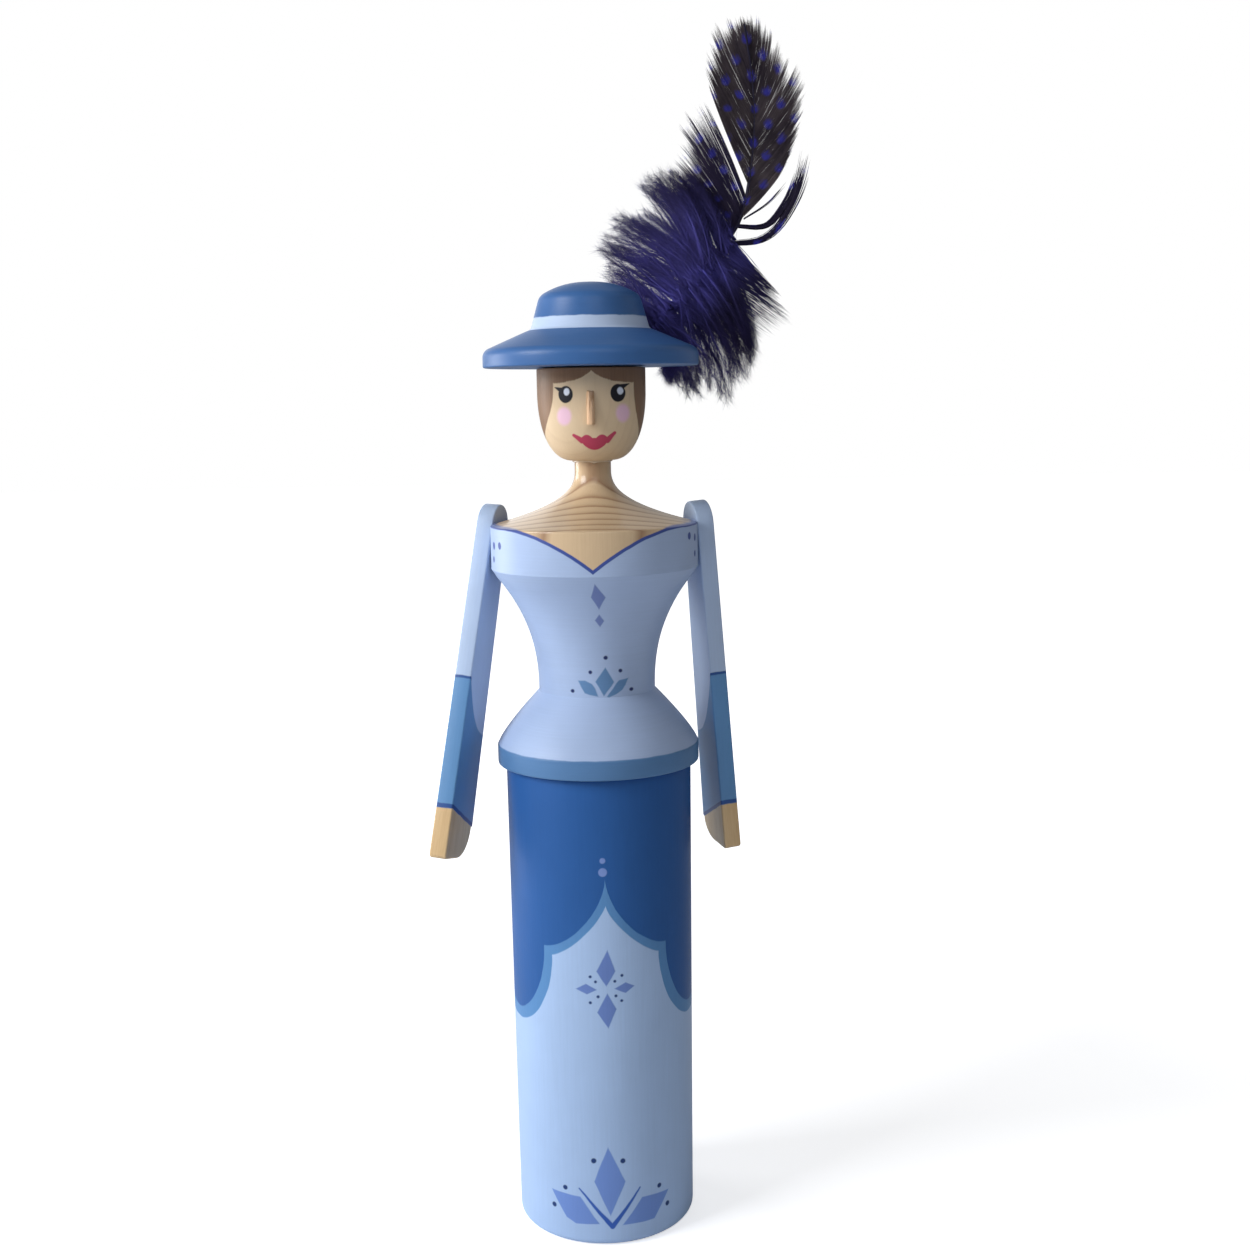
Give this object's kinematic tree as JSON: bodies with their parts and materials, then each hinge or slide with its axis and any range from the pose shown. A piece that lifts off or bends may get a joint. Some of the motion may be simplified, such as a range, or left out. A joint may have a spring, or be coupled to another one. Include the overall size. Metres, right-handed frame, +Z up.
{
  "type": "rattle doll",
  "caption": "Turned wooden lady doll with a bead-filled hollow skirt that rattles, arms that swing on shoulder screws, a brimmed hat and a dyed feather.",
  "frame": {"origin": "centre of the round base, on the surface the doll stands on", "axes": "+Z up along the turning axis, the doll faces -Y, its arms are to -X and +X"},
  "size_m": [0.1056, 0.0576, 0.3302],
  "materials": {
    "skirt_paint": "satin acrylic paint on turned wood",
    "bodice_paint": "satin acrylic paint and clear varnish on turned pine",
    "face_wood": "clear varnish with painted features",
    "nose_wood": "bare whittled wood",
    "plain_wood": "bare wood",
    "hat_paint": "satin acrylic paint on turned wood",
    "sleeve_paint": "satin acrylic paint on sawn wood, varnished bare hands",
    "brass": "plain",
    "feather_quill": "dyed horn-like shaft",
    "feather_blade": "dyed dark barbs with bright blue spots",
    "feather_fluff": "dyed indigo down",
    "bead_wood": "bare wood"
  },
  "bodies": {
    "figure": {"skirt": "skirt_paint", "torso": "bodice_paint", "head": "face_wood", "nose": "nose_wood", "hat_peg": "plain_wood", "hat": "hat_paint", "left_arm_screw": "brass", "right_arm_screw": "brass", "left_arm_washer": "brass", "right_arm_washer": "brass", "feather_shaft": "feather_quill", "feather_middle_vane": "feather_blade", "feather_tip_left": "feather_blade", "feather_tip_right": "feather_blade", "feather_wisp": "feather_blade", "feather_left_down": "feather_fluff", "feather_right_down": "feather_fluff"},
    "left_arm": {"left_arm": "sleeve_paint"},
    "right_arm": {"right_arm": "sleeve_paint"},
    "bead_1": {"rattle_bead_1": "bead_wood"},
    "bead_2": {"rattle_bead_2": "bead_wood"},
    "bead_3": {"rattle_bead_3": "bead_wood"},
    "bead_4": {"rattle_bead_4": "bead_wood"},
    "bead_5": {"rattle_bead_5": "bead_wood"}
  },
  "joints": [
    {"name": "left_shoulder", "type": "hinge", "parent": "figure", "child": "left_arm", "pos_m": [-0.02645, 0.00788, 0.1895], "axis": [-0.9556, 0.2849, 0.0755], "range_deg": [-160, 134]},
    {"name": "right_shoulder", "type": "hinge", "parent": "figure", "child": "right_arm", "pos_m": [0.02645, 0.00788, 0.1895], "axis": [-0.9556, -0.2849, -0.0755], "range_deg": [-134, 149]},
    {"name": "bead_1_rattle", "type": "slide", "parent": "figure", "child": "bead_1", "axis": [0, 0, 1], "range_m": [0, 0.0925]},
    {"name": "bead_2_rattle", "type": "slide", "parent": "figure", "child": "bead_2", "axis": [0, 0, 1], "range_m": [0, 0.0925]},
    {"name": "bead_3_rattle", "type": "slide", "parent": "figure", "child": "bead_3", "axis": [0, 0, 1], "range_m": [0, 0.0925]},
    {"name": "bead_4_rattle", "type": "slide", "parent": "figure", "child": "bead_4", "axis": [0, 0, 1], "range_m": [0, 0.0925]},
    {"name": "bead_5_rattle", "type": "slide", "parent": "figure", "child": "bead_5", "axis": [0, 0, 1], "range_m": [0, 0.0925]}
  ]
}
